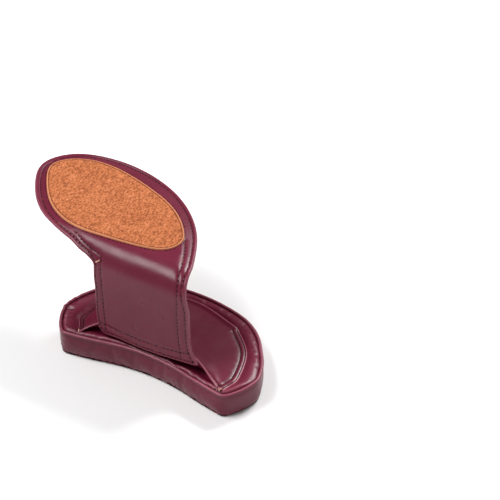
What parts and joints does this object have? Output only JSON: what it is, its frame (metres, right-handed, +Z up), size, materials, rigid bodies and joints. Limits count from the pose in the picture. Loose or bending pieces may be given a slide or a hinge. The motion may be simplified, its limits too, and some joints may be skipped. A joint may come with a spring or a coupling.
{
  "type": "violin shoulder pad with chinrest cover",
  "caption": "Soft leather shoulder pad for a violin: kidney-shaped foam cushion, a flap rising past the ribs and an oval padded cover with a suede patch for the chinrest.",
  "frame": {"origin": "middle of the pad's underside, on the surface it rests on", "axes": "+Z up from the player's shoulder to the violin's back, +X towards the violin's treble side, +Y towards the scroll; the hollowed front edge faces -Y"},
  "size_m": [0.1908, 0.1589, 0.086],
  "materials": {
    "leather": "smooth maroon leather, semi-gloss",
    "lining": "thin matt maroon lining leather",
    "suede": "orange-brown suede, matt with a short nap",
    "foam": "open-cell cushion foam",
    "thread": "waxed dark maroon thread",
    "elastic": "braided cream elastic cord"
  },
  "bodies": {
    "pad": {"pad_bottom_panel": "suede", "pad_side_band": "leather", "pad_foam_core": "foam", "pad_top_panel": "leather", "top_piping": "leather", "carrier_band": "leather", "base_stitching": "thread", "elastic_loop": "elastic", "elastic_tab_right": "leather", "elastic_tab_left": "leather"},
    "flap": {"flap_outer": "leather", "flap_lining": "lining", "flap_stitching": "thread"},
    "chin_cover": {"chin_lining": "lining", "chin_foam": "foam", "chin_panel": "leather", "chin_patch": "suede", "chin_pocket": "lining", "rim_stitching": "thread", "patch_stitching": "thread"}
  },
  "joints": [
    {"name": "flap_fold", "type": "hinge", "parent": "pad", "child": "flap", "pos_m": [0, -0.0286, 0.0206], "axis": [1, 0, 0], "range_deg": [-20, 85]},
    {"name": "cover_fold", "type": "hinge", "parent": "flap", "child": "chin_cover", "pos_m": [0, -0.0258, 0.079], "axis": [1, 0, 0], "range_deg": [-15, 90]}
  ]
}
